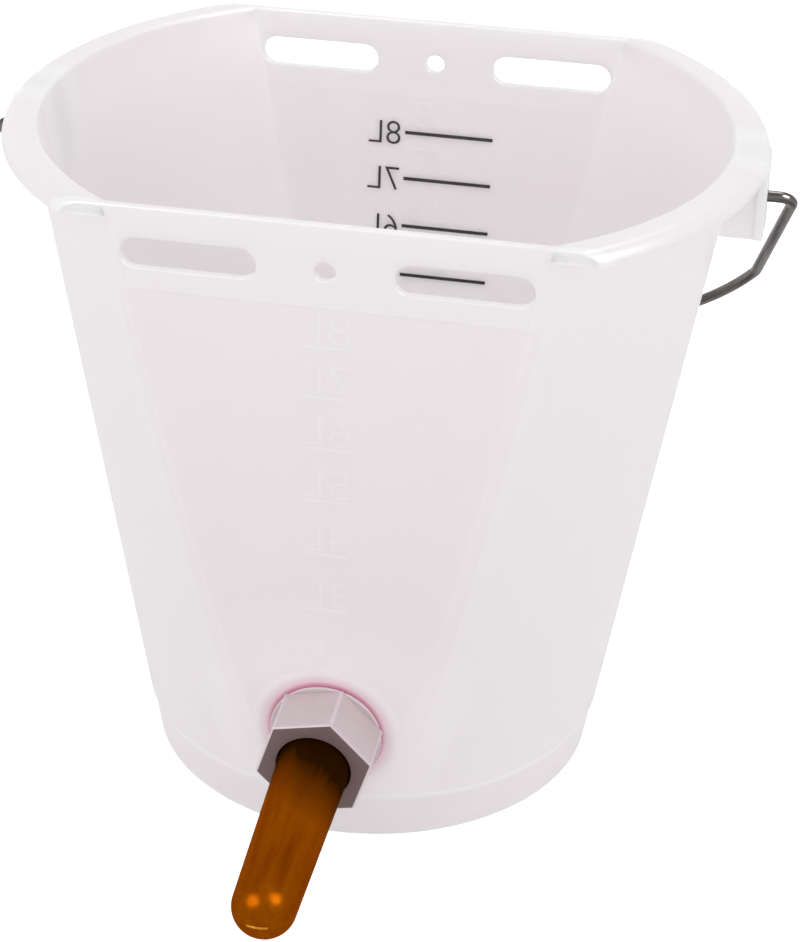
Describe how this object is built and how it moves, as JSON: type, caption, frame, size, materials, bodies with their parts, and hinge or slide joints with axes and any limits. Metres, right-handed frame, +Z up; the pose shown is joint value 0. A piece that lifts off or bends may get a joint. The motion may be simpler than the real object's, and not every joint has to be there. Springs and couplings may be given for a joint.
{
  "type": "calf feeder bucket",
  "caption": "Translucent feeding bucket with two flat slotted panels for hanging on a rail, a swinging wire bail, and a rubber teat held by a hexagon union nut on a ball check valve.",
  "frame": {"origin": "centre of the foot ring, on the ground plane", "axes": "+Z up; -Y is the front, where the teat is; X runs from one bail ear to the other"},
  "size_m": [0.326, 0.3337, 0.282],
  "materials": {
    "milky_plastic": "translucent satin",
    "steel_wire": "drawn, bright",
    "white_plastic": "satin",
    "red_rubber": "matte",
    "amber_rubber": "smooth, slightly translucent",
    "grey_plastic": "satin"
  },
  "bodies": {
    "bucket": {"bucket_body": "milky_plastic", "front_band": "milky_plastic", "back_band": "milky_plastic", "left_rim": "milky_plastic", "right_rim": "milky_plastic", "valve_body": "white_plastic", "wall_seal": "red_rubber", "slip_washer": "grey_plastic", "ball_retainer": "white_plastic"},
    "bail": {"bail_handle": "steel_wire"},
    "ball": {"check_ball": "white_plastic"},
    "teat": {"teat": "amber_rubber"},
    "nut": {"union_nut": "grey_plastic"}
  },
  "joints": [
    {"name": "bail_swing", "type": "hinge", "parent": "bucket", "child": "bail", "pos_m": [0, 0, 0.2627], "axis": [1, 0, 0], "range_deg": [0, 275.8]},
    {"name": "ball_roll", "type": "slide", "parent": "bucket", "child": "ball", "axis": [0, -0.9984, -0.0567], "range_m": [-0.0055, 0]},
    {"name": "teat_draw", "type": "slide", "parent": "bucket", "child": "teat", "axis": [0, -0.9984, -0.0567], "range_m": [0, 0.015]},
    {"name": "nut_turn", "type": "hinge", "parent": "teat", "child": "nut", "pos_m": [0, -0.10055, 0.054], "axis": [0, -0.9984, -0.0567], "range_deg": [0, 1800]}
  ],
  "couplings": [
    {"joint": "teat_draw", "follows": "nut_turn", "m_per_rad": 0.0004774}
  ]
}
